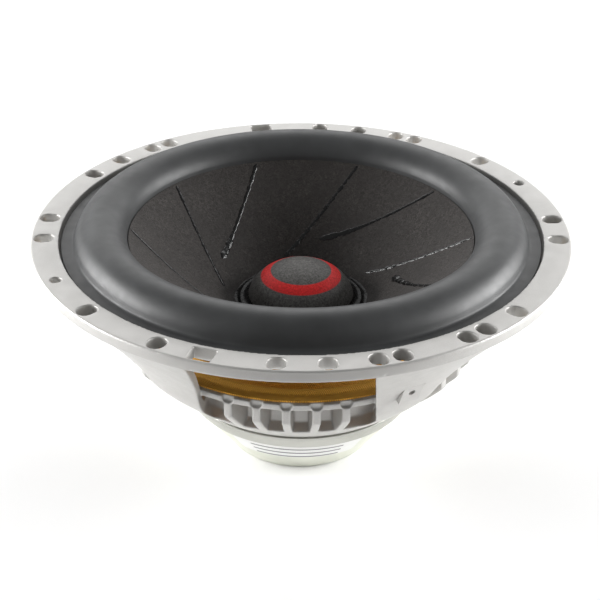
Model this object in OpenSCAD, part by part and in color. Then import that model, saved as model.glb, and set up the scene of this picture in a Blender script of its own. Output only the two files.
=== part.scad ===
// Car woofer, 166 mm frame, stood on its motor with the cone facing up.
// Millimetres. The origin is the centre of the motor's base and +Z is the direction the cone faces.

/* [Flange] */
// Outside diameter of the mounting flange
flange_d = 166; // [164:0.5:172]
// Thickness of the flange
flange_t = 3.6; // [3:0.1:4.5]
// Height of the flange's front face above the motor's base
flange_top = 73.5; // [72:0.5:78]
// Diameter of the recess that holds the surround's lip
recess_d = 149; // [148.5:0.1:150]
// Depth of that recess
recess_depth = 2.2; // [1.8:0.1:2.4]
// Diameter of the circle that the screw slots lie on
slot_circle_d = 158; // [157:0.1:159]
// Width of a screw slot
slot_w = 5.2; // [4.5:0.1:5.6]
// Length of a screw slot, along the radius
slot_len = 6.2; // [6:0.1:6.4]
// Diameter of the two small locating holes
pilot_d = 3.4; // [2.5:0.1:3.6]

/* [Basket] */
// Number of arms, and of windows between them
arm_n = 5; // [5:1:5]
// Direction of the front window's middle
window_angle = 265.5; // [262:0.5:270]
// Width of a window, measured square to its middle line
window_w = 51.4; // [48:0.1:52]
// Depth of the spider ledge below the flange's front face
ledge_depth = 28.3; // [27.5:0.1:29]
// Outside diameter of the spider ledge in the windows
ledge_d = 112.8; // [112.4:0.1:113.6]
// Thickness of a cooling fin under the ledge
fin_t = 2.5; // [2:0.1:3]
// Angle from one fin to the next
fin_pitch = 9; // [9:0.1:9.2]
// Thickness of the cast arms
wall = 3.8; // [3.5:0.1:4.2]

/* [Motor] */
// Diameter of the steel cup at its open end
cup_d = 72; // [71:0.5:74]
// Diameter of the cup at its base
cup_base_d = 48; // [46:0.5:52]
// Thickness of the front plate
plate_t = 5; // [4:0.5:5]
// Diameter of the magnet disc
magnet_d = 35; // [32:0.5:35.5]

/* [Moving parts] */
// Outside diameter of the voice coil former
former_d = 37.9; // [37.8:0.1:38]
// Height of the voice coil winding
winding_h = 12; // [8:0.5:13]
// Width of the surround's half roll, outside to outside
roll_w = 16.4; // [16:0.1:16.6]
// Thickness of the surround's rubber
rubber_t = 0.9; // [0.8:0.1:1]
// Diameter of the paper cone at its front edge
cone_d = 106.8; // [106:0.1:107]
// Thickness of the paper cone
paper_t = 0.8; // [0.6:0.1:0.9]
// Diameter of the dust cap
cap_d = 33.6; // [33:0.1:34]
// Height of the dust cap's dome
cap_h = 11.8; // [10:0.1:12.5]

/* [Hidden] */
$fn = 96;
e = 0.02;

silver = "#c9c8c4";
charcoal = "#3a3836";

// Heights of the main levels, down from the flange's front face
rear_z = flange_top - flange_t;
ledge_z = flange_top - ledge_depth;
band_z = ledge_z - 2;
pocket_z = flange_top - 43.4;
seat_z = flange_top - 52;
arm_step = 360 / arm_n;

// Angles of the screw slots, two rectangular clip windows and two locating holes in the flange
slot_angles = [5, 40, 60, 65, 75, 85, 125, 130, 140, 150, 175, 185, 220, 240, 265, 275, 285, 290, 305,
               310, 320, 355];
clip_angles = [100, 250];
pilot_angles = [25, 205];
dimple_angle = 285.7;

// A quadratic curve from a to c, drawn towards b
function curve(a, b, c, n = 10) =
    [for (i = [0 : n]) let (t = i / n) (1 - t) * (1 - t) * a + 2 * t * (1 - t) * b + t * t * c];
function tail(list) = [for (i = [1 : len(list) - 1]) list[i]];
function reversed(list) = [for (i = [len(list) - 1 : -1 : 0]) list[i]];

// The bowl's outer outline: it flares up to the flange and curls in to the motor's seat
flare = curve([flange_d / 2 - 0.5, rear_z], [64.25, flange_top - 20.5],
              [58.5, flange_top - 32]);
curl = curve([58.5, flange_top - 32], [54.1, flange_top - 39.3], [38, seat_z]);
bowl_outline = concat(flare, tail(curl));

module ring(r_in, r_out, z_low, z_high) {
    rotate_extrude()
        translate([r_in, z_low])
            square([r_out - r_in, z_high - z_low]);
}

module at_windows() {
    for (i = [0 : arm_n - 1])
        rotate([0, 0, window_angle + i * arm_step])
            children();
}

/* ---- Basket ---- */

pocket_r = 44.5;
wall_r = 41;
wall_top = flange_top - 38;
band_r = 51.5;
plate_bore_r = 24;
screw_circle_r = 30.5;
screw_r = 2;
fin_angles = [-2 : 1 : 2];

// Seats on the outside of two arms, as [distance from the axis, depth, slope]
terminal_arm = window_angle + 2.5 * arm_step;
terminal_seat = [67.2, 20, 42];
screw_arm = window_angle + 0.5 * arm_step - 1.9;
screw_seat = [64.1, 24.2, 22];
screw_hole_r = 1.05;
pad_size = [3.2, 6.8, 8];

// Places things on a seat: x points out of the arm and z up along it
module on_arm(angle, seat) {
    rotate([0, 0, angle])
        translate([seat[0], 0, flange_top - seat[1]])
            rotate([0, seat[2], 0])
                children();
}

module bowl() {
    inner = [for (p = bowl_outline) p + [-wall * 0.88, wall * 0.47]];
    rotate_extrude()
        polygon(concat(bowl_outline, [[plate_bore_r, seat_z], [plate_bore_r, seat_z + wall]],
                       reversed(inner)));
}

// Everything inside the bowl's outer outline, up to the ledge
module bowl_space() {
    rotate_extrude()
        polygon(concat([[0, ledge_z], [curl[0][0], ledge_z]], curl, [[0, seat_z]]));
}

module flange_ring() {
    edge = 0.3;
    low_edge = 0.25;
    inner_r = 68.9;
    rim_z = flange_top - 5.2;
    rotate_extrude()
        polygon([[recess_d / 2, flange_top], [flange_d / 2 - edge, flange_top],
                 [flange_d / 2, flange_top - edge], [flange_d / 2, rear_z + low_edge],
                 [flange_d / 2 - low_edge, rear_z], [75.53, rear_z], [74.03, rim_z], [inner_r, rim_z],
                 [inner_r, flange_top - recess_depth], [recess_d / 2, flange_top - recess_depth]]);
}

// A window between two arms, seen along its middle line: it runs from the flange down to the
// pockets' floor, with rounded lower corners
module window_shape() {
    corner = 4;
    h = rear_z + 0.5 - pocket_z;
    translate([30, 0, pocket_z])
        rotate([90, 0, 90])
            linear_extrude(70)
                union() {
                    translate([-window_w / 2, corner])
                        square([window_w, h - corner]);
                    translate([-window_w / 2 + corner, -1])
                        square([window_w - 2 * corner, corner + 2]);
                    for (s = [-1, 1])
                        translate([s * (window_w / 2 - corner), corner])
                            circle(corner);
                }
}

// The space under the ledge, out to that radius, with a sloping floor. The fins stand in it
module pocket_space(r_out) {
    rotate_extrude()
        polygon([[pocket_r, pocket_z + 1.5], [50, pocket_z - 0.9], [r_out, pocket_z - 0.9],
                 [r_out, band_z], [pocket_r, band_z]]);
}

// The window's lower part: the ledge stands in it, flush with the fronts of the fins
module window_cut() {
    intersection() {
        window_shape();
        union() {
            ring(ledge_d / 2, 95, pocket_z - 1, ledge_z + 2);
            pocket_space(62);
        }
    }
}

// The free space over the motor, which the spider moves in
module under_spider() {
    rotate_extrude()
        polygon([[0, seat_z + wall], [wall_r, seat_z + wall], [wall_r, wall_top], [wall_r + 2.8, wall_top],
                 [band_r, band_z - 0.2], [band_r, ledge_z + 1], [0, ledge_z + 1]]);
}

// Notches in the ledge's front edge, one over each fin, wider at the top
module notches() {
    for (k = fin_angles)
        rotate([0, 0, k * fin_pitch])
            translate([55.2, 0, band_z])
                rotate([90, 0, 90])
                    linear_extrude(10)
                        polygon([[-1.3, 0.1], [1.3, 0.1], [2.1, ledge_z - band_z + 0.5],
                                 [-2.1, ledge_z - band_z + 0.5]]);
}

// Through the flange in the windows, and blind over the arms
hole_depth = flange_t + 0.15;

module screw_slot() {
    reach = (slot_len - slot_w) / 2;
    for (s = [-1, 1])
        translate([s * reach, 0, 0])
            cylinder(d = slot_w, h = 2 * hole_depth, center = true);
    cube([2 * reach, slot_w, 2 * hole_depth], center = true);
}

module flange_holes() {
    for (a = slot_angles)
        rotate([0, 0, a])
            translate([slot_circle_d / 2, 0, flange_top])
                screw_slot();
    for (a = clip_angles)
        rotate([0, 0, a])
            translate([slot_circle_d / 2, 0, flange_top])
                cube([6, 7, 2 * hole_depth], center = true);
    for (a = pilot_angles)
        rotate([0, 0, a])
            translate([slot_circle_d / 2, 0, flange_top])
                cylinder(d = pilot_d, h = 2 * hole_depth, center = true);
}

// A small round dimple in the flange's lower edge, beside the front window
module edge_dimple() {
    rotate([0, 0, dimple_angle])
        translate([flange_d / 2 - 0.7, 0, flange_top - flange_t + 0.35])
            rotate([0, 90, 0])
                cylinder(d = 1.2, h = 2);
}

// Keeps the part of a casting between two levels
module slice(z_low, z_high) {
    intersection() {
        children();
        translate([-100, -100, z_low])
            cube([200, 200, z_high - z_low]);
    }
}

// The casting is divided at these levels, so that each node is simple
flange_low = flange_top - 5.5;
arms_low = ledge_z;
bowl_low = seat_z + wall + 0.15;

module basket_flange() {
    color(silver)
        slice(flange_low, flange_top + 1)
            difference() {
                union() {
                    difference() {
                        bowl();
                        at_windows()
                            window_shape();
                    }
                    flange_ring();
                }
                flange_holes();
                edge_dimple();
            }
}

module basket_arms() {
    color(silver)
        slice(arms_low, flange_low)
            difference() {
                union() {
                    bowl();
                    on_arm(terminal_arm, terminal_seat)
                        translate([-4.6, -12, -7])
                            cube([4.6, 24, 14]);
                }
                at_windows()
                    window_shape();
                pad_block(1.5);
                on_arm(terminal_arm, terminal_seat) {
                    translate([-9, -7.6, -4])
                        cube([14, 15.2, 8]);
                    for (s = [-1, 1])
                        translate([-7, s * rivet_y, 0])
                            rotate([0, 90, 0])
                                cylinder(r = rivet_r, h = 12);
                }
            }
}

// The ring inside the bowl that stands round the voice coil
module inner_wall() {
    intersection() {
        bowl_space();
        ring(wall_r, 49, seat_z + 1, wall_top + 0.3);
    }
}

module basket_bowl() {
    color(silver)
        slice(bowl_low, arms_low)
            difference() {
                union() {
                    bowl();
                    inner_wall();
                    ring(band_r - 1, ledge_d / 2 + 1.5, band_z - 0.3, ledge_z + 1);
                }
                at_windows() {
                    window_cut();
                    notches();
                }
                under_spider();
            }
}

module basket_seat() {
    color(silver)
        slice(seat_z - 1, bowl_low)
            difference() {
                union() {
                    bowl();
                    inner_wall();
                }
                under_spider();
                motor_screw_places(seat_z - 1)
                    cylinder(r = screw_r + 0.2, h = 20);
                motor_screw_places(seat_z + wall - 2.2)
                    cylinder(r1 = screw_r + 0.2, r2 = screw_r + 2.4, h = 2.2 + e);
            }
}

// The plates under the ledge that carry it and cool the air space
module basket_fins() {
    color(silver)
        difference() {
            intersection() {
                bowl_space();
                pocket_space(ledge_d / 2);
                at_windows()
                    for (k = fin_angles)
                        rotate([0, 0, k * fin_pitch])
                            translate([pocket_r - 2, -fin_t / 2, pocket_z - 2])
                                cube([ledge_d / 2 - pocket_r + 4, fin_t, band_z - pocket_z + 4]);
            }
            under_spider();
        }
}

// The block that is let into the front right arm for a small screw, or the room cut for it
module pad_block(extra) {
    on_arm(screw_arm, screw_seat)
        translate([-pad_size[0], -pad_size[1] / 2, -4.2])
            cube(pad_size + [extra, 0, 0]);
}

module arm_screw_pad() {
    color(silver)
        difference() {
            pad_block(0);
            on_arm(screw_arm, screw_seat)
                translate([-6, 0, 0])
                    rotate([0, 90, 0])
                        cylinder(r = screw_hole_r, h = 10);
        }
}

/* ---- Motor ---- */

cup_top = seat_z - plate_t;
gap_r = 20.2;
pole_r = 18.2;
magnet_z = 6;
cup_wall = 4.4;

module motor_screw_places(z) {
    for (i = [0 : arm_n - 1])
        rotate([0, 0, window_angle + (i + 0.5) * arm_step])
            translate([screw_circle_r, 0, z])
                children();
}

module front_plate() {
    color("#b9b9b2")
        difference() {
            rotate_extrude()
                polygon([[gap_r, seat_z], [37.6, seat_z], [38, seat_z - 0.6], [38, seat_z - 1.6],
                         [cup_d / 2 + 0.3, cup_top], [gap_r, cup_top]]);
            motor_screw_places(cup_top - 1)
                cylinder(r = screw_r, h = plate_t + 2);
        }
}

module yoke_cup() {
    edge = 0.7;
    color("#d3d4c6")
        rotate_extrude()
            polygon([[0, 0], [cup_base_d / 2 - edge, 0], [cup_base_d / 2, edge], [cup_d / 2, cup_top],
                     [cup_d / 2 - cup_wall, cup_top], [cup_base_d / 2 - 1, magnet_z], [0, magnet_z]]);
}

module neodymium_magnet() {
    color("#8d8f92")
        translate([0, 0, magnet_z])
            cylinder(d = magnet_d, h = cup_top - 0.5 - magnet_z);
}

module pole_plate() {
    color("#a9aaa6")
        translate([0, 0, cup_top - 0.5])
            cylinder(r = pole_r, h = plate_t + 1);
}

module copper_cap() {
    skin = 0.2;
    top = cup_top + plate_t + 0.5;
    color("#b87333")
        rotate_extrude()
            polygon([[0, top], [pole_r, top], [pole_r, cup_top + 0.5], [pole_r + skin, cup_top + 0.5],
                     [pole_r + skin, top + skin], [0, top + skin]]);
}

module motor_screws() {
    head_h = 2.2;
    top = seat_z + wall;
    color("#77787a")
        motor_screw_places(cup_top + 0.3)
            difference() {
                union() {
                    cylinder(r = screw_r, h = top - cup_top - 0.3);
                    translate([0, 0, top - head_h - cup_top - 0.3])
                        cylinder(r1 = screw_r, r2 = screw_r + 2.2, h = head_h);
                }
                translate([0, 0, top - cup_top - 0.3 - 1.4])
                    cylinder(d = 2.9, h = 2, $fn = 6);
            }
}

module label() {
    wrap = 70;
    foil = 0.15;
    lean = (cup_d - cup_base_d) / 2 / (cup_top - 0.7);
    low = 8;
    high = 16.1;
    function side(z) = cup_base_d / 2 + lean * (z - 0.7) + e;
    color("#e9e9e4")
        rotate([0, 0, 270 - 2 - wrap / 2])
            rotate_extrude(angle = wrap)
                polygon([[side(low), low], [side(low) + foil, low], [side(high) + foil, high],
                         [side(high), high]]);
}

/* ---- Cone, coil and suspension ---- */

roll_r = roll_w / 2;
roll_mid_r = 61.7;
lip_z = flange_top - recess_depth;
cone_rim = [cone_d / 2, flange_top - 1];
cone_neck = [former_d / 2 + 0.05, flange_top - 26];
cone_lean = (cone_rim[1] - cone_neck[1]) / (cone_rim[0] - cone_neck[0]);
former_top = flange_top - 25.4;
former_bottom = flange_top - 60.8;
former_t = 0.2;
cap_base = flange_top - 24.5;
spider_z = ledge_z + 0.3;
slit_n = 5;

function cone_front(r) = cone_neck[1] + cone_lean * (r - cone_neck[0]);

// The half roll, its flat outer lip and the sloping lip glued behind the cone's edge
module surround() {
    arc_n = 18;
    glue_r = 50.6;
    outer_lip_r = recess_d / 2 - 0.5;
    function arc(r, start, end) = [for (i = [0 : arc_n]) let (a = start + (end - start) * i / arc_n)
        [roll_mid_r + r * cos(a), lip_z + r * sin(a)]];
    back = paper_t * 1.25 + 0.02;
    color("#2b2c2c")
        rotate_extrude()
            polygon(concat([[outer_lip_r, lip_z], [outer_lip_r, lip_z + 1],
                            [roll_mid_r + roll_r + 0.3, lip_z + 1]],
                           arc(roll_r, 6, 172),
                           [[cone_rim[0] + 0.15, lip_z + 0.75],
                            [cone_rim[0] + 0.1, cone_front(cone_rim[0]) - back],
                            [glue_r, cone_front(glue_r) - back],
                            [glue_r, cone_front(glue_r) - back - rubber_t],
                            [cone_rim[0] + 0.3, lip_z - 1]],
                           arc(roll_r - rubber_t, 176, 0)));
}

module cone_shell(front_gap, thickness) {
    drop = thickness * 1.25;
    rotate_extrude()
        polygon([[cone_neck[0], cone_neck[1] + front_gap],
                 [cone_rim[0], cone_rim[1] + front_gap],
                 [cone_rim[0], cone_rim[1] + front_gap - drop],
                 [cone_neck[0], cone_neck[1] + front_gap - drop]]);
}

// Straight cuts that run in from the cone's edge, tangent to a circle round its middle
module slits(width) {
    long_r = 20;
    short_r = 28.5;
    module cut(start, r, from, to)
        rotate([0, 0, start + acos(r / cone_rim[0])])
            translate([r, -to, flange_top - 30])
                translate([-width / 2, 0, 0])
                    cube([width, to - from, 40]);
    for (i = [0 : slit_n - 1]) {
        cut(i * 360 / slit_n - 3.5, long_r, 13.5, 49);
        cut(i * 360 / slit_n + 34, short_r, 7, 44.6);
    }
}

module cone() {
    color(charcoal)
        difference() {
            union() {
                cone_shell(0, paper_t);
                ring(cone_neck[0], cone_neck[0] + paper_t, cone_neck[1] - 1.5, cone_neck[1] - e);
            }
            slits(0.6);
        }
}

module slit_adhesive() {
    color("#141414")
        intersection() {
            cone_shell(0.25, paper_t + 0.2);
            slits(0.6);
        }
}

module dust_cap() {
    t = 0.6;
    n = 12;
    function dome(r, h) = [for (i = [0 : n]) [r * cos(90 * i / n), cap_base + h * sin(90 * i / n)]];
    color(charcoal)
        rotate_extrude()
            polygon(concat([[former_d / 2, former_top], [former_d / 2, cap_base - 0.4],
                            [cap_d / 2, cap_base - 0.4]],
                           dome(cap_d / 2, cap_h),
                           reversed(dome(cap_d / 2 - t, cap_h - t)),
                           [[cap_d / 2 - t, former_top]]));
}

// Glue that fills the corner between the dust cap and the cone
module cap_adhesive_ring() {
    outer = 20.9;
    low = cap_base - 0.38;
    color("#141414")
        rotate_extrude()
            polygon([[cap_d / 2 + 0.03, low], [former_d / 2 + 0.07, low],
                     [former_d / 2 + 0.07, cone_front(former_d / 2 + 0.07) + 0.03],
                     [outer, cone_front(outer) + 0.03],
                     [outer - 0.1, cone_front(outer) + 0.2], [19.4, low + 0.75],
                     [cap_d / 2 + 0.9, low + 0.85], [cap_d / 2 + 0.03, low + 1.4]]);
}

module voice_coil_former() {
    color("#c98f3a")
        ring(former_d / 2 - former_t, former_d / 2, former_bottom, former_top);
}

module voice_coil_winding() {
    mid = seat_z - plate_t / 2;
    color("#b5652b")
        ring(former_d / 2, former_d / 2 + 0.8, mid - winding_h / 2, mid + winding_h / 2);
}

// Glue that fills the corner between the cone's neck and the spider
module neck_adhesive() {
    inner = cone_neck[0] + paper_t + 0.02;
    low = spider_z + 0.32;
    high = cone_front(inner) - paper_t * 1.25 - 0.05;
    color("#141414")
        rotate_extrude()
            polygon([[inner, low], [inner + 1.1, low], [inner + 0.3, low + 0.4], [inner, high]]);
}

// Corrugated fabric disc: waves that grow towards the outside, a flat foot and an inner collar
module spider() {
    cloth = 0.6;
    first_r = 21;
    last_r = 52;
    wave_n = 6;
    step_n = 8;
    foot_r = 54.9;
    collar_r = former_d / 2 + 0.03;
    function wave(i) = let (t = i / (wave_n * step_n), r = first_r + (last_r - first_r) * t)
        [r, spider_z - (0.9 + 0.5 * t) * sin(360 * wave_n * t)];
    rings = [for (i = [0 : wave_n * step_n]) wave(i)];
    color("#c08a2e")
        rotate_extrude()
            polygon(concat([[collar_r, spider_z + cloth / 2]],
                           [for (p = rings) p + [0, cloth / 2]],
                           [[foot_r, spider_z + cloth / 2], [foot_r, spider_z - cloth / 2 + 0.01]],
                           [for (p = reversed(rings)) p - [0, cloth / 2 - 0.01]],
                           [[collar_r + cloth, spider_z - cloth / 2], [collar_r + cloth, spider_z - 2.4],
                            [collar_r, spider_z - 2.4]]));
}

/* ---- Terminals and leads ---- */

rivet_y = 9.8;
rivet_r = 1.2;
tab_y = 4.4;
board_t = 2;

module terminal_board() {
    color("#26272a")
        on_arm(terminal_arm, terminal_seat)
            difference() {
                translate([0, -12, -6])
                    cube([board_t, 24, 12]);
                for (s = [-1, 1]) {
                    translate([-1, s * rivet_y, 0])
                        rotate([0, 90, 0])
                            cylinder(r = rivet_r, h = 5);
                    translate([-1, s * tab_y - 0.4, -3.15])
                        cube([5, 0.8, 6.3]);
                }
            }
}

// A push-on blade that passes through the board, with a wire hole in its inner end
module terminal_tab(side, width) {
    tip = 9.5;
    on_arm(terminal_arm, terminal_seat)
        difference() {
            union() {
                translate([-4, side * tab_y - 0.4, -width / 2])
                    cube([4 + tip, 0.8, width]);
                for (x = [-0.6, board_t])
                    translate([x, side * tab_y - 0.9, -width / 2])
                        cube([0.6, 1.8, width]);
            }
            translate([tip - 3.4, side * tab_y - 2, 0])
                rotate([-90, 0, 0])
                    cylinder(d = 1.7, h = 4);
            translate([tip - 1, side * tab_y - 2, width / 2])
                rotate([0, 45, 0])
                    cube([3, 4, 1.2]);
        }
}

module terminal_tab_positive() {
    color("#d8b25a")
        terminal_tab(1, 6.3);
}

module terminal_tab_negative() {
    color("#d8b25a")
        terminal_tab(-1, 4.8);
}

module terminal_rivets() {
    color("#b8babc")
        on_arm(terminal_arm, terminal_seat)
            for (s = [-1, 1])
                translate([-3.6, s * rivet_y, 0])
                    rotate([0, 90, 0]) {
                        cylinder(r = rivet_r, h = board_t + 3.6);
                        translate([0, 0, board_t + 3.6])
                            cylinder(r1 = 2, r2 = 1.4, h = 0.8);
                    }
}

// The lead's route beside the terminal arm's middle plane, as [outwards, sideways, up]:
// from the tab it sags freely to the cone, then runs down the cone's back to its neck
lead_r = 0.8;
lead_route = [[62.9, 4.4, 56.4], [61.4, 4.4, 57.5], [59.4, 4.6, 58], [57, 4.9, 57.4], [54.5, 5.4, 56],
              [52, 6, 55], [49.5, 6.7, 54.6], [47, 7.4, 55], [44.5, 8.1, 56.2], [42, 8.8, 58],
              [39.8, 9.3, 59.5], [37.5, 9.6, 59.8], [35, 9.6, 58.1], [32.5, 9.4, 56.3], [30, 9.1, 54.5],
              [27.5, 8.7, 52.7], [25, 8.2, 50.8], [22.6, 7.6, 49]];

function unit(v) = v / norm(v);
function direction(path, i) = unit(path[min(i + 1, len(path) - 1)] - path[max(i - 1, 0)]);

module swept_tube(path, r, sides = 8) {
    points = [for (i = [0 : len(path) - 1])
        let (d = direction(path, i), across = unit(cross(d, [0, 1, 0])), up = cross(across, d))
        for (k = [0 : sides - 1])
            path[i] + r * (cos(360 * k / sides) * across + sin(360 * k / sides) * up)];
    last = (len(path) - 1) * sides;
    faces = concat([[for (k = [sides - 1 : -1 : 0]) k]],
                   [for (i = [0 : len(path) - 2], k = [0 : sides - 1])
                       let (a = i * sides + k, b = i * sides + (k + 1) % sides)
                       [a, b, b + sides, a + sides]],
                   [[for (k = [0 : sides - 1]) last + k]]);
    polyhedron(points, faces);
}

module lead_wire(side, r) {
    rotate([0, 0, terminal_arm])
        scale([1, side, 1])
            swept_tube(lead_route, r);
}

module lead_wire_positive() {
    color("#b98a4a")
        lead_wire(1, lead_r);
}

module lead_wire_negative() {
    color("#b98a4a")
        lead_wire(-1, lead_r);
}

// Spots of glue that hold the leads to the cone's back
module lead_adhesive_dabs() {
    dab = [36.6, 9.6];
    back = paper_t * 1.25 + 0.02;
    color("#141414")
        difference() {
            rotate([0, 0, terminal_arm])
                for (s = [-1, 1])
                    translate([dab[0], s * dab[1], cone_front(38) - 3.4])
                        cylinder(r = 2, h = 6);
            rotate_extrude()
                polygon([[20, cone_front(20) - back], [60, cone_front(60) - back], [20, cone_front(60)]]);
            for (s = [-1, 1])
                lead_wire(s, lead_r + 0.02);
        }
}

basket_flange();
basket_arms();
basket_bowl();
basket_seat();
basket_fins();
arm_screw_pad();
surround();
cone();
slit_adhesive();
dust_cap();
cap_adhesive_ring();
voice_coil_former();
voice_coil_winding();
neck_adhesive();
spider();
front_plate();
yoke_cup();
neodymium_magnet();
pole_plate();
copper_cap();
motor_screws();
terminal_board();
terminal_tab_positive();
terminal_tab_negative();
terminal_rivets();
lead_wire_positive();
lead_wire_negative();
lead_adhesive_dabs();
label();
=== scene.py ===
"""Looks for the car woofer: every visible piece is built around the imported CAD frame.

Lengths are in millimetres until a mesh is made. Z is up, and the woofer's axis is the Z axis.
"""
import math

import bmesh
import bpy
import numpy as np
from mathutils import Matrix, Quaternion, Vector, noise


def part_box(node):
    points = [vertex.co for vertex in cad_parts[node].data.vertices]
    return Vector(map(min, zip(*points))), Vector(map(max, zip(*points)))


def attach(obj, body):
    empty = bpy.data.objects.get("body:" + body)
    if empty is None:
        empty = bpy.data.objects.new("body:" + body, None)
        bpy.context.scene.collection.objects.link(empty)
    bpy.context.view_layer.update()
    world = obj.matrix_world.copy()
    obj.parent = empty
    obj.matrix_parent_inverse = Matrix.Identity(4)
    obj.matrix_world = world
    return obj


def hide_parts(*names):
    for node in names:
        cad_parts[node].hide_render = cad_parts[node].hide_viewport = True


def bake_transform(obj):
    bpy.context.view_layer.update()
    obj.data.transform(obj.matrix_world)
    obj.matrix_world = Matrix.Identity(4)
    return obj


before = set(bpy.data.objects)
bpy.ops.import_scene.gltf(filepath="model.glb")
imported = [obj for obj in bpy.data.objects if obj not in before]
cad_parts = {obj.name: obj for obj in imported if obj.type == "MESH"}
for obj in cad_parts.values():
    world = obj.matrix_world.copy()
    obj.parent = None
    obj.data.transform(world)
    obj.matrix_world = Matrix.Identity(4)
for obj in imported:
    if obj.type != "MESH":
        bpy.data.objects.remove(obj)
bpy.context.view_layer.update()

MM = 0.001

# Steps round a turned piece
STEPS = 360


def low(node):
    """The low corner of a CAD node's box, in millimetres."""
    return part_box(node)[0] / MM


def high(node):
    """The high corner of a CAD node's box, in millimetres."""
    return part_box(node)[1] / MM


# ---- Shapes ----

def curve(a, b, c, n):
    """A quadratic curve from a to c, drawn towards b."""
    a, b, c = (np.array(p, float) for p in (a, b, c))
    return [(1 - t) ** 2 * a + 2 * t * (1 - t) * b + t * t * c for t in np.linspace(0, 1, n + 1)]


def arc(centre, radius, start, end, n):
    """Points on an arc in the (r, z) plane, angles in degrees."""
    return [np.array([centre[0] + radius * math.cos(math.radians(a)),
                      centre[1] + radius * math.sin(math.radians(a))])
            for a in np.linspace(start, end, n + 1)]


def soften(points, radius):
    """A closed outline with its corners rounded."""
    points = [np.array(p, float) for p in points]
    rounded = []
    for i, p in enumerate(points):
        before, after = points[i - 1], points[(i + 1) % len(points)]
        reach = min(radius, np.linalg.norm(before - p) * 0.45, np.linalg.norm(after - p) * 0.45)
        start = p + (before - p) / np.linalg.norm(before - p) * reach
        end = p + (after - p) / np.linalg.norm(after - p) * reach
        rounded += curve(start, p, end, 3)
    return rounded


def build(name, points, faces, sharp=40):
    """A mesh object from points in millimetres, smooth except at edges sharper than that angle."""
    mesh = bpy.data.meshes.new(name)
    mesh.from_pydata([tuple(np.array(p) * MM) for p in points], [], faces)
    mesh.validate()
    mesh.shade_smooth()
    mesh.set_sharp_from_angle(angle=math.radians(sharp))
    piece = bpy.data.objects.new(name, mesh)
    bpy.context.scene.collection.objects.link(piece)
    return piece


def join(name, pieces):
    """One mesh object from several."""
    with bpy.context.temp_override(active_object=pieces[0], object=pieces[0],
                                   selected_editable_objects=pieces, selected_objects=pieces):
        bpy.ops.object.join()
    pieces[0].name = name
    pieces[0].data.name = name
    return pieces[0]


def revolve(name, outline, sharp=40, wobble=None):
    """A closed outline of (r, z) points turned about the axis. wobble(r, z, angle) moves a point."""
    points, faces = [], []
    n = len(outline)
    for s in range(STEPS):
        angle = 2 * math.pi * s / STEPS
        for r, z in outline:
            if wobble:
                r, z = wobble(r, z, angle)
            points.append((r * math.cos(angle), r * math.sin(angle), z))
    for s in range(STEPS):
        here, there = s * n, (s + 1) % STEPS * n
        for k in range(n):
            m = (k + 1) % n
            faces.append((here + k, there + k, there + m, here + m))
    return build(name, points, faces, sharp)


def dome(name, outline):
    """Like revolve, for an outline whose first and last points lie on the axis."""
    inner = outline[1:-1]
    n = len(inner)
    points = [(r * math.cos(a), r * math.sin(a), z)
              for a in np.linspace(0, 2 * math.pi, STEPS, endpoint=False) for r, z in inner]
    first, last = len(points), len(points) + 1
    points += [(0, 0, outline[0][1]), (0, 0, outline[-1][1])]
    faces = []
    for s in range(STEPS):
        here, there = s * n, (s + 1) % STEPS * n
        faces += [(here + k, there + k, there + k + 1, here + k + 1) for k in range(n - 1)]
        faces.append((first, there, here))
        faces.append((last, here + n - 1, there + n - 1))
    return build(name, points, faces)


def tube(name, path, radius, sides, lump):
    """A round tube along a path. lump(i, k) scales the radius at point i and side k."""
    path = [Vector(p) for p in path]
    points, faces = [], []
    side = Vector((0, 0, 1))
    for i, p in enumerate(path):
        ahead = (path[min(i + 1, len(path) - 1)] - path[max(i - 1, 0)]).normalized()
        side = (side - ahead * side.dot(ahead)).normalized()
        other = ahead.cross(side)
        for k in range(sides):
            a = 2 * math.pi * k / sides
            r = radius * lump(i, k)
            points.append(p + side * (r * math.cos(a)) + other * (r * math.sin(a)))
    for i in range(len(path) - 1):
        for k in range(sides):
            m = (k + 1) % sides
            faces.append((i * sides + k, i * sides + m, (i + 1) * sides + m, (i + 1) * sides + k))
    faces.append(tuple(range(sides))[::-1])
    faces.append(tuple((len(path) - 1) * sides + k for k in range(sides)))
    return build(name, points, faces, sharp=60)


def smooth_path(points, per_step):
    """A Catmull-Rom curve through the points, with that many steps from each to the next."""
    p = [Vector(q) for q in points]
    p = [2 * p[0] - p[1]] + p + [2 * p[-1] - p[-2]]
    out = []
    for i in range(1, len(p) - 2):
        for s in range(per_step):
            t = s / per_step
            out.append(0.5 * (2 * p[i] + (p[i + 1] - p[i - 1]) * t
                              + (2 * p[i - 1] - 5 * p[i] + 4 * p[i + 1] - p[i + 2]) * t * t
                              + (3 * p[i] - p[i - 1] - 3 * p[i + 1] + p[i + 2]) * t ** 3))
    return out + [p[-2]]


def bend_with(piece, weight):
    """Bakes the piece's transform and works out weight(x, y, z) at each corner, 0 at the frame and 1 at the
    cone. The weights are not used further.
    """
    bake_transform(piece)
    values = [weight(*(v.co / MM)) for v in piece.data.vertices]


def step(t):
    """Eases from 0 at t = 0 to 1 at t = 1."""
    t = min(1.0, max(0.0, t))
    return t * t * (3 - 2 * t)


# ---- Materials ----

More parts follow.
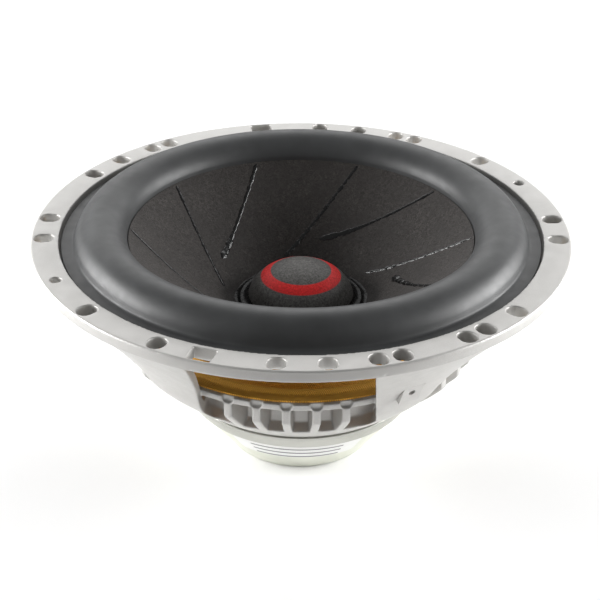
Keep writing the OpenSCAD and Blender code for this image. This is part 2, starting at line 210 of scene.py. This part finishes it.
class Paint:
    """A material being made: its shader, and short ways to add nodes to it."""

    def __init__(self, name, colour, rough=0.5, metal=0.0, **sockets):
        self.material = bpy.data.materials.new(name)
        self.material.use_nodes = True
        self.tree = self.material.node_tree
        self.shader = self.tree.nodes["Principled BSDF"]
        self.material.diffuse_color = (*colour, 1)
        self.shader.inputs["Base Color"].default_value = (*colour, 1)
        self.shader.inputs["Roughness"].default_value = rough
        self.shader.inputs["Metallic"].default_value = metal
        for socket, value in sockets.items():
            self.shader.inputs[socket.replace("_", " ")].default_value = value
        self.coordinates = self.tree.nodes.new("ShaderNodeTexCoord").outputs["Object"]

    def link(self, source, node, socket):
        self.tree.links.new(source, node.inputs[socket])

    def noise(self, size, detail=4.0, rough=0.5, stretch=(1, 1, 1), distort=0.0):
        """Noise with features of that size, in millimetres."""
        place = self.tree.nodes.new("ShaderNodeMapping")
        place.inputs["Scale"].default_value = [s / (size * MM) for s in stretch]
        self.link(self.coordinates, place, "Vector")
        node = self.tree.nodes.new("ShaderNodeTexNoise")
        node.inputs["Scale"].default_value = 1
        node.inputs["Detail"].default_value = detail
        node.inputs["Roughness"].default_value = rough
        node.inputs["Distortion"].default_value = distort
        self.link(place.outputs["Vector"], node, "Vector")
        return node.outputs["Fac"]

    def math(self, operation, a, b=0.0):
        node = self.tree.nodes.new("ShaderNodeMath")
        node.operation = operation
        for i, value in enumerate((a, b)):
            if isinstance(value, (int, float)):
                node.inputs[i].default_value = value
            else:
                self.tree.links.new(value, node.inputs[i])
        return node.outputs[0]

    def remap(self, value, low_in, high_in, low_out, high_out):
        """The value stretched from one range to another, and held at its ends."""
        node = self.tree.nodes.new("ShaderNodeMapRange")
        for socket, number in (("From Min", low_in), ("From Max", high_in),
                               ("To Min", low_out), ("To Max", high_out)):
            node.inputs[socket].default_value = number
        self.link(value, node, "Value")
        return node.outputs["Result"]

    def ramp(self, value, *stops):
        """A colour that runs through (position, colour) stops."""
        node = self.tree.nodes.new("ShaderNodeValToRGB")
        elements = node.color_ramp.elements
        while len(elements) < len(stops):
            elements.new(0.5)
        for element, (position, colour) in zip(elements, stops):
            element.position = position
            element.color = (*colour, 1)
        self.link(value, node, "Fac")
        return node.outputs["Color"]

    def mix(self, factor, a, b):
        """Colour b over colour a. Each is a socket or a colour."""
        node = self.tree.nodes.new("ShaderNodeMix")
        node.data_type = "RGBA"
        self.tree.links.new(factor, node.inputs[0])
        for i, value in ((6, a), (7, b)):
            if isinstance(value, tuple):
                node.inputs[i].default_value = (*value, 1)
            else:
                self.tree.links.new(value, node.inputs[i])
        return node.outputs[2]

    def polar(self):
        """Distance from the woofer's axis in millimetres, angle round it in radians, and the height."""
        parts = self.tree.nodes.new("ShaderNodeSeparateXYZ")
        self.link(self.coordinates, parts, "Vector")
        x, y, z = (parts.outputs[i] for i in range(3))
        squares = self.math("ADD", self.math("MULTIPLY", x, x), self.math("MULTIPLY", y, y))
        radius = self.math("DIVIDE", self.math("SQRT", squares), MM)
        return radius, self.math("ARCTAN2", y, x), self.math("DIVIDE", z, MM)

    def colour(self, source):
        self.link(source, self.shader, "Base Color")

    def roughness(self, source):
        self.link(source, self.shader, "Roughness")

    def bump(self, height, depth):
        """Raises the surface by depth millimetres where height is 1. Later calls add to earlier ones."""
        node = self.tree.nodes.new("ShaderNodeBump")
        node.inputs["Distance"].default_value = depth * MM
        self.link(height, node, "Height")
        normal = self.shader.inputs["Normal"]
        if normal.links:
            self.tree.links.new(normal.links[0].from_socket, node.inputs["Normal"])
        self.tree.links.new(node.outputs["Normal"], normal)

    def on(self, *pieces):
        """Gives the material to the pieces."""
        for piece in pieces:
            piece.data.materials.clear()
            piece.data.materials.append(self.material)


def tint(colour, factor):
    """The colour made darker or lighter by that factor."""
    return tuple(c * factor for c in colour)


def casting_paint():
    """Warm silver paint with fine metal flake over the casting's slight texture."""
    silver = (0.58, 0.57, 0.55)
    p = Paint("silver_casting", silver, 0.45, 0.3)
    flake = p.noise(0.35, 2)
    cloud = p.noise(22, 3)
    p.colour(p.mix(p.remap(cloud, 0.35, 0.7, 0, 1), p.ramp(flake, (0.35, tint(silver, 0.9)), (0.7, silver)),
                   tint(silver, 0.93)))
    p.roughness(p.remap(p.noise(3, 4), 0.3, 0.7, 0.34, 0.46))
    p.bump(flake, 0.012)
    p.bump(p.noise(1.6, 3), 0.02)
    return p


def rubber():
    """Satin black rubber, faintly cloudy."""
    black = (0.044, 0.0455, 0.0465)
    p = Paint("surround_rubber", black, 0.45, 0, Specular_IOR_Level=0.45)
    p.colour(p.ramp(p.noise(9, 5), (0.3, black), (0.75, tint(black, 1.35))))
    p.roughness(p.remap(p.noise(4, 5), 0.3, 0.7, 0.4, 0.5))
    p.bump(p.noise(0.5, 3), 0.008)
    return p


def cone_paper():
    """Dark pressed paper: short fibres that lie every way, a random fibre tone with painted shade that
    darkens the pits, and a felt-like surface.
    """
    dark = (0.034, 0.029, 0.026)
    p = Paint("cone_paper", dark, 0.75, 0)
    fibre = p.noise(0.9, 6, 0.65, distort=1.5)
    mottle = p.noise(7, 4)
    # Partly random fibre tone, partly painted shade: the colour darkens where the fibre bump dips.
    p.colour(p.mix(p.remap(mottle, 0.35, 0.7, 0, 1),
                   p.ramp(fibre, (0.38, tint(dark, 0.6)), (0.52, dark), (0.68, tint(dark, 1.9))),
                   tint(dark, 0.8)))
    p.roughness(p.remap(fibre, 0.35, 0.65, 0.85, 0.6))
    p.bump(fibre, 0.16)
    p.bump(p.noise(0.3, 3), 0.05)
    return p


def cap_paper(cap_r):
    """The cone's paper with a plain red ring printed round the dome."""
    dark = (0.11, 0.107, 0.102)
    red = (0.85, 0.035, 0.035)
    p = Paint("cap_paper", dark, 0.6, 0, Specular_IOR_Level=0.2)
    fibre = p.noise(0.7, 5, 0.6, distort=1.0)
    radius = p.math("DIVIDE", p.polar()[0], cap_r)
    ring = p.math("MULTIPLY", p.remap(radius, 0.56, 0.575, 0, 1), p.remap(radius, 0.76, 0.745, 0, 1))
    paper = p.ramp(fibre, (0.38, tint(dark, 0.7)), (0.7, tint(dark, 1.7)))
    printed = p.ramp(fibre, (0.35, tint(red, 0.7)), (0.7, tint(red, 1.15)))
    p.colour(p.mix(ring, paper, printed))
    p.roughness(p.remap(fibre, 0.3, 0.7, 0.6, 0.42))
    p.bump(fibre, 0.07)
    return p


def glue(shine=0.6):
    """Black glue, glossy where it flowed and dull where it dragged."""
    black = (0.003, 0.003, 0.003)
    p = Paint("black_adhesive", black, 0.15, 0, Specular_IOR_Level=shine)
    p.colour(p.ramp(p.noise(3, 3), (0.3, black), (0.8, tint(black, 3))))
    p.roughness(p.remap(p.noise(1.2, 3), 0.35, 0.7, 0.08, 0.35))
    p.bump(p.noise(0.9, 3), 0.12)
    return p


def spider_weave():
    """Golden woven cloth stiffened with resin: warp and weft, with painted shade in the valleys of the
    weave.
    """
    gold = (0.95, 0.48, 0.07)
    p = Paint("spider_cloth", gold, 0.7, 0, Specular_IOR_Level=0.2)
    radius, angle, _ = p.polar()
    along = p.math("SINE", p.math("MULTIPLY", radius, 2 * math.pi / 0.55))
    across = p.math("SINE", p.math("MULTIPLY", angle, 520))
    weave = p.math("MULTIPLY", along, across)
    # Painted shade: the gold darkens to 0.55 where the weave dips, over a random tone.
    p.colour(p.mix(p.remap(p.noise(5, 4), 0.35, 0.7, 0, 1),
                   p.ramp(p.remap(weave, -1, 1, 0, 1), (0.1, tint(gold, 0.55)), (0.8, gold)),
                   tint(gold, 0.8)))
    p.bump(weave, 0.08)
    return p


def steel(name, colour, rough, brush=0.25):
    """Plated steel with faint turning marks round the axis."""
    p = Paint(name, colour, rough, 0.85)
    radius, _, height = p.polar()
    marks = p.math("SINE", p.math("MULTIPLY", p.math("ADD", radius, height), 2 * math.pi / brush))
    cloud = p.noise(12, 4)
    p.colour(p.ramp(cloud, (0.3, tint(colour, 0.88)), (0.75, colour)))
    p.roughness(p.remap(p.noise(2.5, 4), 0.3, 0.7, rough - 0.06, rough + 0.07))
    p.bump(marks, 0.004)
    p.bump(p.noise(0.8, 2), 0.006)
    return p


def metal(name, colour, rough):
    """Small bright parts: slight tarnish and fine scratches."""
    p = Paint(name, colour, rough, 1.0)
    tarnish = p.noise(2.5, 5, 0.6)
    p.colour(p.ramp(tarnish, (0.35, tint(colour, 0.7)), (0.6, colour)))
    p.roughness(p.remap(tarnish, 0.3, 0.7, rough + 0.15, rough))
    p.bump(p.noise(0.4, 3, stretch=(1, 1, 8)), 0.005)
    return p


def laminate():
    """Dark fibre board."""
    p = Paint("board_fibre", (0.02, 0.021, 0.024), 0.5, 0)
    fibre = p.noise(0.5, 4, stretch=(1, 4, 1))
    p.colour(p.ramp(fibre, (0.3, (0.014, 0.015, 0.018)), (0.75, (0.035, 0.036, 0.042))))
    p.bump(fibre, 0.02)
    return p


def film():
    """Amber film with a clear, glossy coat."""
    p = Paint("former_film", (0.5, 0.22, 0.04), 0.25, 0, Coat_Weight=0.3)
    p.colour(p.ramp(p.noise(4, 3), (0.3, (0.42, 0.17, 0.03)), (0.75, (0.55, 0.26, 0.06))))
    return p


def windings():
    """Fine enamelled wire: turns lie one above the other, with painted shade in the grooves between them.
    """
    copper = (0.55, 0.2, 0.08)
    p = Paint("copper_wire", copper, 0.3, 0.9)
    turns = p.math("SINE", p.math("MULTIPLY", p.polar()[2], 2 * math.pi / 0.3))
    # Painted shade: the copper darkens to 0.35 in the grooves between turns.
    p.colour(p.ramp(p.remap(turns, -1, 1, 0, 1), (0.1, tint(copper, 0.35)), (0.7, copper)))
    p.bump(turns, 0.05)
    return p


def braid():
    """Woven tinsel: strands cross in both directions along the lead."""
    copper = (0.5, 0.26, 0.12)
    p = Paint("tinsel_braid", copper, 0.35, 0.9)
    strands = p.noise(0.35, 2, stretch=(2, 1, 1), distort=2)
    p.colour(p.ramp(strands, (0.35, tint(copper, 0.4)), (0.65, copper)))
    p.bump(strands, 0.08)
    return p


def label_foil(angle, low_z, high_z):
    """Satin white foil. Its print is only a few plain grey bars."""
    white = (0.86, 0.86, 0.85)
    p = Paint("label_foil", white, 0.45, 0)
    _, turn, z = p.polar()
    turn = p.math("ADD", turn, angle)
    height = p.remap(z, low_z, high_z, 0, 1)
    rows = p.math("SINE", p.math("MULTIPLY", height, 2 * math.pi * 3))
    inside = p.remap(p.math("ABSOLUTE", turn), 0.44, 0.43, 0, 1)
    bars = p.math("MULTIPLY", p.remap(rows, 0.55, 0.65, 0, 1), inside)
    p.colour(p.mix(bars, p.ramp(p.noise(5, 3), (0.3, tint(white, 0.94)), (0.8, white)), (0.16, 0.16, 0.16)))
    p.bump(p.noise(2.2, 3), 0.03)
    return p


# ---- Basket ----

# The CAD nodes that together are the casting
CAST_PARTS = ("basket_flange", "basket_arms", "basket_bowl", "basket_seat", "basket_fins")


def drop_specks(mesh):
    """Removes loose bits that the remesh leaves, with fewer than a hundred corners each."""
    body = bmesh.new()
    body.from_mesh(mesh)
    seen = set()
    specks = []
    for start in body.verts:
        if start in seen:
            continue
        group, edge = {start}, [start]
        while edge:
            near = {e.other_vert(v) for v in edge for e in v.link_edges} - group
            group |= near
            edge = list(near)
        seen |= group
        if len(group) < 100:
            specks += group
    bmesh.ops.delete(body, geom=specks, context="VERTS")
    body.to_mesh(mesh)
    body.free()


def basket_casting():
    """The CAD casting's parts as one piece, with the rounded edges and slight waviness of a casting."""
    voxel = 0.35
    softening = 3
    faces_kept = 0.27
    copies = []
    for name in CAST_PARTS:
        copy = bpy.data.objects.new(name + "_copy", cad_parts[name].data.copy())
        bpy.context.scene.collection.objects.link(copy)
        copies.append(copy)
    piece = join("basket_casting", copies)
    grain = piece.modifiers.new("grain", "REMESH")
    grain.mode = "VOXEL"
    grain.voxel_size = voxel * MM
    grain.use_smooth_shade = True
    soft = piece.modifiers.new("soft", "SMOOTH")
    soft.factor = 0.5
    soft.iterations = softening
    thin = piece.modifiers.new("thin", "DECIMATE")
    thin.ratio = faces_kept
    graph = bpy.context.evaluated_depsgraph_get()
    piece.data = bpy.data.meshes.new_from_object(piece.evaluated_get(graph))
    piece.modifiers.clear()
    drop_specks(piece.data)
    piece.data.shade_smooth()
    casting_paint().on(piece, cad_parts["arm_screw_pad"])
    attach(piece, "frame")
    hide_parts(*CAST_PARTS)


# ---- Motor ----

# Where the cup's sloping side would meet the rounding of its base
BASE_R = 24.0
BASE_Z = 0.7


def cup_side(z):
    """Radius of the cup's sloping side at that height."""
    cup = high("yoke_cup")
    return BASE_R + (cup.x - BASE_R) * (z - BASE_Z) / (cup.z - BASE_Z)


def front_plate():
    """The turned front plate: a shallow step round its top edge, and a slope from its rim to the cup."""
    plate_low, plate_high = low("front_plate").z, high("front_plate").z
    plate_r = high("front_plate").x
    bore_r = 20.2
    step_r = plate_r - 0.9
    step_z = plate_high - 0.5
    rim_high, rim_low = plate_high - 0.7, plate_high - 1.6
    foot_r = high("yoke_cup").x + 0.5
    outline = [(bore_r, plate_high), (step_r, plate_high), (step_r, step_z), (plate_r, rim_high),
               (plate_r, rim_low), (foot_r, plate_low + 0.1), (bore_r, plate_low)]
    plate = revolve("front_plate_turned", soften(outline, 0.1))
    steel("plate_steel", (0.56, 0.56, 0.52), 0.34).on(plate)
    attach(plate, "frame")
    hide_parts("front_plate")


def yoke_cup():
    """The drawn steel cup: sloping sides, a rounded base and rounded edges under the front plate."""
    plate_low = low("front_plate").z
    cup_r = high("yoke_cup").x
    inner_r = cup_r - 4.4
    floor_z = 6
    lip_z = plate_low - 0.05
    inner_round, outer_round = 0.4, 0.6
    side_high, side_low = plate_low - 0.7, 1.3
    outline = [(0, floor_z), (2, floor_z), (BASE_R - 1, floor_z)]
    outline += curve((inner_r, plate_low - inner_round), (inner_r, lip_z),
                     (inner_r + inner_round, lip_z), 3)
    outline += curve((cup_r - outer_round, lip_z), (cup_r, lip_z), (cup_side(side_high), side_high), 4)
    outline += curve((cup_side(side_low), side_low), (BASE_R, 0.05), (BASE_R - 1.4, 0), 6)
    outline += [(BASE_R - 6, 0), (9, 0), (0, 0)]
    cup = dome("yoke_cup_turned", outline)
    steel("cup_steel", (0.8, 0.81, 0.73), 0.36, 0.4).on(cup)
    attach(cup, "frame")
    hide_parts("yoke_cup")


def label():
    """A foil label with rounded corners, wrapped round the cup's slope."""
    low_z, high_z = low("label").z, high("label").z
    facing = 268
    half_turn = math.radians(35)
    cup_r = 30
    foil = 0.12
    air = 0.03
    corner = 1.1
    columns, rows = 60, 12
    middle_z, tall = (low_z + high_z) / 2, (high_z - low_z) / 2
    wide = half_turn * cup_r
    points, faces = [], []
    for side in (0, foil):
        for i in range(columns + 1):
            for j in range(rows + 1):
                u, v = 2 * i / columns - 1, 2 * j / rows - 1
                inset = max(0.0, abs(u) * wide - (wide - corner))
                cut = corner - math.sqrt(max(0.0, corner ** 2 - inset ** 2))
                z = middle_z + v * (tall - cut)
                r = cup_side(z) + air + side
                a = math.radians(facing) + u * half_turn
                points.append((r * math.cos(a), r * math.sin(a), z))
    line = rows + 1
    sheet = (columns + 1) * line
    for i in range(columns):
        for j in range(rows):
            a, b = i * line + j, (i + 1) * line + j
            faces.append((a, a + 1, b + 1, b))
            faces.append((a + sheet, b + sheet, b + 1 + sheet, a + 1 + sheet))
    rim = ([(i * line, (i + 1) * line) for i in range(columns)]
           + [(columns * line + j, columns * line + j + 1) for j in range(rows)]
           + [((i + 1) * line + rows, i * line + rows) for i in range(columns)]
           + [(j + 1, j) for j in range(rows)])
    faces += [(a, b, b + sheet, a + sheet) for a, b in rim]
    piece = build("label_foil", points, faces)
    label_foil(math.radians(360 - facing), low_z, high_z).on(piece)
    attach(piece, "frame")
    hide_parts("label")


# ---- Cone, suspension and glue ----

# The front of the cone, from its rim to its neck
RIM_R = high("cone").x
NECK_R = 19.0
RIM_Z = high("cone").z
NECK_Z = RIM_Z - 25
LEAN = (RIM_Z - NECK_Z) / (RIM_R - NECK_R)

# The middle of the surround's half roll, its radius, and the height that it springs from
ROLL_R = 61.7
ROLL_HALF = 8.2
LIP_Z = high("surround").z - ROLL_HALF

# The dome's radius, and the height of its edge
CAP_R = 16.8
CAP_Z = RIM_Z - 23.5


def cone_z(r):
    """Height of the cone's front at that distance from the axis."""
    return NECK_Z + LEAN * (r - NECK_R)


def surround():
    """The rubber surround: a flat lip on the flange, a tall half roll, and a skirt behind the cone."""
    rubber_t = 0.9
    lip_r, lip_top = high("surround").x, LIP_Z + 1
    roll_outer = ROLL_R + ROLL_HALF
    skirt_r = 50.6
    behind = 1.05
    outline = (curve((lip_r - 0.35, LIP_Z), (lip_r, LIP_Z), (lip_r, LIP_Z + 0.35), 3)
               + curve((lip_r, LIP_Z + 0.7), (lip_r, lip_top), (lip_r - 0.4, lip_top), 3)
               + curve((roll_outer + 1.2, lip_top), (roll_outer + 0.1, lip_top),
                       (roll_outer - 0.15, LIP_Z + 1.9), 5)
               + arc((ROLL_R, LIP_Z), ROLL_HALF, 16, 166, 40)
               + curve((RIM_R + 0.35, LIP_Z + 1.3), (RIM_R + 0.12, LIP_Z + 0.5),
                       (RIM_R + 0.08, cone_z(RIM_R) - behind), 4)
               + [(skirt_r, cone_z(skirt_r) - behind), (skirt_r, cone_z(skirt_r) - behind - rubber_t),
                  (RIM_R + 0.3, LIP_Z - 1)]
               + arc((ROLL_R, LIP_Z), ROLL_HALF - rubber_t, 172, 4, 40))
    piece = revolve("surround_roll", outline)
    rubber().on(piece)
    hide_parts("surround")
    fixed_r, moving_r = roll_outer - 0.5, RIM_R + 0.8
    bend_with(piece, lambda x, y, z: step((fixed_r - math.hypot(x, y)) / (fixed_r - moving_r)))


def cone():
    """The paper cone, with a slightly uneven face."""
    paper = 0.98
    unevenness = 0.07
    smooth_edge = 3
    radii = np.linspace(NECK_R + 0.05, RIM_R, 34)
    front = [(r, cone_z(r)) for r in radii]
    back = [(r, cone_z(r) - paper) for r in radii[::-1]]

    def uneven(r, z, angle):
        lump = noise.fractal(Vector((r * math.cos(angle), r * math.sin(angle), 0)) * 0.16, 0.8, 2, 3)
        fade = step((RIM_R - r) / smooth_edge) * step((r - NECK_R) / smooth_edge)
        return r, z + unevenness * lump * fade

    piece = revolve("cone_paper", front + back, wobble=uneven)
    cone_paper().on(piece)
    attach(piece, "moving_assembly")
    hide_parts("cone")


def glue_bead(name, start, tangent_r, far, near, thick_end):
    """An uneven bead of glue on a straight slit that passes the axis at tangent_r. It runs from far to
    near along the slit, starts at that angle on the cone's edge, and its end is thicker by thick_end."""
    turn = math.radians(start) + math.acos(tangent_r / RIM_R)
    out_x, out_y = math.cos(turn), math.sin(turn)
    lengths, sides = 90, 9
    points, faces = [], []
    for i in range(lengths + 1):
        t = i / lengths
        along = far + (near - far) * t
        x = tangent_r * out_x + along * out_y
        y = tangent_r * out_y - along * out_x
        seed = Vector((start * 0.7, along * 0.55, 0))
        lump = noise.fractal(seed, 0.9, 2, 3)
        width = 0.55 * (1 + 0.45 * lump) * (1 + thick_end * step((t - 0.55) / 0.4))
        width *= math.sqrt(max(0.02, min(1, t * 40, (1 - t) * 25)))
        tall = 0.42 * width + 0.12
        drift = 0.12 * noise.noise(seed * 2.3)
        for k in range(sides):
            a = math.pi * k / (sides - 1)
            offset = width * math.cos(a) + drift
            px, py = x + out_x * offset, y + out_y * offset
            z = cone_z(math.hypot(px, py)) + tall * math.sin(a) - 0.1
            points.append((px, py, z))
        foot_x, foot_y = x + out_x * drift, y + out_y * drift
        points.append((foot_x, foot_y, cone_z(math.hypot(foot_x, foot_y)) - 0.9))
    m = sides + 1
    for i in range(lengths):
        for k in range(m):
            j = (k + 1) % m
            faces.append((i * m + k, i * m + j, (i + 1) * m + j, (i + 1) * m + k))
    faces.append(tuple(range(m))[::-1])
    faces.append(tuple(lengths * m + k for k in range(m)))
    return build(name, points, faces, sharp=60)


def slit_glue():
    """Beads of glue on the cone's slits, long and short by turns."""
    pairs = 5
    turn = 360 / pairs
    beads = []
    for i in range(pairs):
        beads.append(glue_bead(f"long_{i}", turn * i - 3.5, tangent_r=20,
                               far=49, near=13.5, thick_end=0.1))
        beads.append(glue_bead(f"short_{i}", turn * i + 34, tangent_r=28.5,
                               far=44.6, near=7, thick_end=0.8))
    piece = join("slit_glue_beads", beads)
    glue().on(piece)
    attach(piece, "moving_assembly")
    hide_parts("slit_adhesive")


def dust_cap():
    """The paper dome, with a small foot that stands in the glue."""
    cap_h = high("dust_cap").z - CAP_Z
    paper = 0.6
    foot_r = 18.9
    outer = [(CAP_R * math.sin(a), CAP_Z + cap_h * math.cos(a)) for a in np.linspace(0, math.pi / 2, 40)]
    inner = [((CAP_R - paper) * math.sin(a), CAP_Z + (cap_h - paper) * math.cos(a))
             for a in np.linspace(math.pi / 2, 0, 20)]
    foot = [(CAP_R + 0.1, CAP_Z - 0.35), (foot_r, CAP_Z - 0.4), (foot_r, CAP_Z - 0.9),
            (CAP_R - paper, CAP_Z - 0.9)]
    piece = dome("dust_cap_dome", outer + foot + inner)
    cap_paper(CAP_R).on(piece)
    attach(piece, "moving_assembly")
    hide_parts("dust_cap")


def cap_glue():
    """The black glue round the cap's foot, wavy where it ran out on the cone."""
    def uneven(r, z, angle):
        lump = noise.noise(Vector((math.cos(angle), math.sin(angle), 0.2 * r)) * 3.2)
        fine = noise.noise(Vector((math.cos(angle), math.sin(angle), 0.3)) * 14)
        edge = step((r - 18.5) / 2)
        rise = 0.06 * lump * (1 - edge) + edge * LEAN * 0.35 * lump
        return r + edge * (0.35 * lump + 0.12 * fine), z + rise

    outline = [(CAP_R - 0.1, CAP_Z - 0.4), (18.9, CAP_Z - 0.4), (19.1, cone_z(19.1) - 0.1),
               (20.9, cone_z(20.9) - 0.1)]
    outline += curve((21, cone_z(21) + 0.12), (20.2, cone_z(20.2) + 0.4), (19.2, CAP_Z + 0.75), 5)
    outline += curve((18.6, CAP_Z + 0.55), (17.4, CAP_Z + 0.6), (CAP_R - 0.15, CAP_Z + 1.7), 5)
    ring = revolve("cap_glue", outline, wobble=uneven)
    glue(0.12).on(ring)
    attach(ring, "moving_assembly")
    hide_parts("cap_adhesive_ring")


def spider():
    """Corrugated cloth disc: six waves that grow outwards, a flat foot and a collar."""
    middle_z = high("spider").z - 1.7
    half_cloth = 0.28
    first_r, last_r = 21.0, 52.0
    waves = 6
    first_wave, wave_growth = 0.9, 0.5
    flat_r, foot_r = 53, high("spider").x
    collar_r, collar_t, collar_tall = 18.98, 0.6, 2.4
    radii = np.linspace(first_r, last_r, 121)

    def crest(r):
        t = (r - first_r) / (last_r - first_r)
        return middle_z - (first_wave + wave_growth * t) * math.sin(2 * math.pi * waves * t)

    top = [(collar_r, middle_z + half_cloth)] + [(r, crest(r) + half_cloth) for r in radii]
    top += [(flat_r, middle_z + half_cloth), (foot_r, middle_z + half_cloth)]
    under = [(foot_r, middle_z - half_cloth), (flat_r, middle_z - half_cloth)]
    under += [(r, crest(r) - half_cloth) for r in radii[::-1]]
    under += [(collar_r + collar_t, middle_z - half_cloth), (collar_r + collar_t, middle_z - collar_tall),
              (collar_r, middle_z - collar_tall)]
    piece = revolve("spider_disc", top + under, sharp=60)
    spider_weave().on(piece)
    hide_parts("spider")
    bend_with(piece, lambda x, y, z: step((last_r - math.hypot(x, y)) / (last_r - first_r)))


def neck_glue():
    """A fillet of glue between the former and the cone's neck."""
    inner = 19.85
    bottom, top = low("neck_adhesive").z, high("neck_adhesive").z

    def uneven(r, z, angle):
        lump = noise.noise(Vector((math.cos(angle), math.sin(angle), 0)) * 5)
        return r + 0.25 * (r - inner) * lump, z

    ring = revolve("neck_glue", [(inner, bottom), (inner + 1.1, bottom), (inner + 0.9, bottom + 0.3),
                                 (inner + 0.3, bottom + 0.5), (inner, top)], wobble=uneven)
    glue().on(ring)
    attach(ring, "moving_assembly")
    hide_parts("neck_adhesive")


# ---- Leads and small parts ----

# The arm that carries the terminal board
TERMINAL_ARM = math.radians(85.5)

# The lead's route beside the terminal arm's middle plane: outwards, sideways, up
LEAD_ROUTE = [(62.9, 4.4, 56.4), (61.4, 4.4, 57.5), (59.4, 4.6, 58), (57, 4.9, 57.4), (54.5, 5.4, 56),
              (52, 6, 55), (49.5, 6.7, 54.6), (47, 7.4, 55), (44.5, 8.1, 56.2), (42, 8.8, 58),
              (39.8, 9.3, 59.5), (37.5, 9.6, 59.8), (35, 9.6, 58.1), (32.5, 9.4, 56.3), (30, 9.1, 54.5),
              (27.5, 8.7, 52.7), (25, 8.2, 50.8), (22.6, 7.6, 49)]


def leads():
    """Two leads, each of three strands twisted together."""
    radius, sides, strands, twist = 0.76, 12, 3, 0.45
    fixed_r, moving_r = 62, 40
    turned = Matrix.Rotation(TERMINAL_ARM, 3, "Z")
    paint = braid()
    for side, node in ((1, "lead_wire_positive"), (-1, "lead_wire_negative")):
        path = smooth_path([turned @ Vector((x, side * y, z)) for x, y, z in LEAD_ROUTE], 12)
        piece = tube(node + "_braid", path, radius, sides,
                     lambda i, k: 1 + 0.06 * math.cos(strands * (2 * math.pi * k / sides) + i * twist))
        paint.on(piece)
        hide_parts(node)
        bend_with(piece, lambda x, y, z: step((fixed_r - math.hypot(x, y)) / (fixed_r - moving_r)))


def carried_over():
    """CAD nodes that stay as they are get their material, and some of them a small bevel."""
    paints = {
        "lead_adhesive_dabs": glue(),
        "neodymium_magnet": steel("nickel_plate", (0.6, 0.6, 0.61), 0.2),
        "pole_plate": steel("pole_steel", (0.55, 0.55, 0.53), 0.3),
        "copper_cap": metal("copper_sheet", (0.72, 0.32, 0.18), 0.25),
        "motor_screws": metal("dark_steel", (0.22, 0.22, 0.23), 0.3),
        "terminal_board": laminate(),
        "terminal_tab_positive": metal("gold_plate", (0.83, 0.6, 0.28), 0.2),
        "terminal_tab_negative": metal("gold_plate_thin", (0.8, 0.59, 0.3), 0.24),
        "terminal_rivets": metal("rivet_steel", (0.6, 0.6, 0.61), 0.28),
        "voice_coil_former": film(),
        "voice_coil_winding": windings(),
    }
    bevelled = {"terminal_board": 0.25, "terminal_tab_positive": 0.12, "terminal_tab_negative": 0.12,
                "terminal_rivets": 0.2, "motor_screws": 0.12, "arm_screw_pad": 0.3}
    for name, paint in paints.items():
        paint.on(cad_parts[name])
    for name, width in bevelled.items():
        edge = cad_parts[name].modifiers.new("edge", "BEVEL")
        edge.width = width * MM
        edge.segments = 2
        edge.limit_method = "ANGLE"


# ---- Camera, light and floor ----

def camera():
    """A long lens that looks down at the woofer from the front."""
    lens = bpy.data.cameras.new("camera")
    lens.lens = 92.62
    lens.clip_start = 0.01
    eye = bpy.data.objects.new("camera", lens)
    bpy.context.scene.collection.objects.link(eye)
    place = Vector((-2.9, -426.53, 291.13)) * MM
    aim = Vector((-0.25, 0, 48)) * MM
    roll = Quaternion((0, 0, 1), math.radians(0.343))
    eye.location = place
    eye.rotation_mode = "QUATERNION"
    eye.rotation_quaternion = (aim - place).to_track_quat("-Z", "Y") @ roll
    bpy.context.scene.camera = eye


def softbox(name, place, aim, size, watts):
    """A rectangular area light that the camera doesn't see, placed and aimed in millimetres."""
    lamp = bpy.data.lights.new(name, "AREA")
    lamp.shape = "RECTANGLE"
    lamp.size, lamp.size_y = (s * MM for s in size)
    lamp.energy = watts
    thing = bpy.data.objects.new(name, lamp)
    bpy.context.scene.collection.objects.link(thing)
    thing.visible_camera = False
    thing.location = Vector(place) * MM
    thing.rotation_mode = "QUATERNION"
    thing.rotation_quaternion = (Vector(aim) - Vector(place)).to_track_quat("-Z", "Y")


def card(name, outline, height, grey):
    """A flat matt sheet on the stage, faintly mottled."""
    sheet = build(name, [(x, y, height) for x, y in outline], [(0, 1, 2, 3)])
    p = Paint(name + "_paper", (grey,) * 3, 0.9)
    p.colour(p.ramp(p.noise(400, 2), (0.3, (grey - 0.01,) * 3), (0.7, (grey + 0.01,) * 3)))
    p.on(sheet)
    return sheet


def studio():
    """Soft light from both sides and from behind, and a little from the front. The floor is white, and a
    dark card on it, in front of the woofer and unseen, keeps light off the woofer's underside."""
    world = bpy.data.worlds.new("studio")
    bpy.context.scene.world = world
    world.use_nodes = True
    sky = world.node_tree.nodes["Background"]
    sky.inputs["Color"].default_value = (1, 1, 1, 1)
    sky.inputs["Strength"].default_value = 0.2
    softbox("left_box", (-620, 60, 190), aim=(0, 0, 50), size=(460, 340), watts=6.8)
    softbox("right_box", (620, 60, 190), aim=(0, 0, 50), size=(460, 340), watts=6.8)
    softbox("back_box", (0, 700, 450), aim=(0, 0, 50), size=(1300, 600), watts=4.1)
    softbox("front_box", (0, -300, 25), aim=(0, 0, 30), size=(300, 40), watts=0.1)
    bpy.context.scene.view_settings.view_transform = "Standard"
    card("floor", [(-3000, -3000), (3000, -3000), (3000, 3000), (-3000, 3000)], height=0, grey=0.94)
    dark_card = card("dark_card", [(-600, -700), (600, -700), (600, -170), (-600, -170)],
                     height=0.5, grey=0.06)
    dark_card.visible_camera = False
    dark_card.visible_shadow = False


camera()
studio()
basket_casting()
front_plate()
yoke_cup()
label()
surround()
cone()
slit_glue()
dust_cap()
cap_glue()
spider()
neck_glue()
leads()
carried_over()
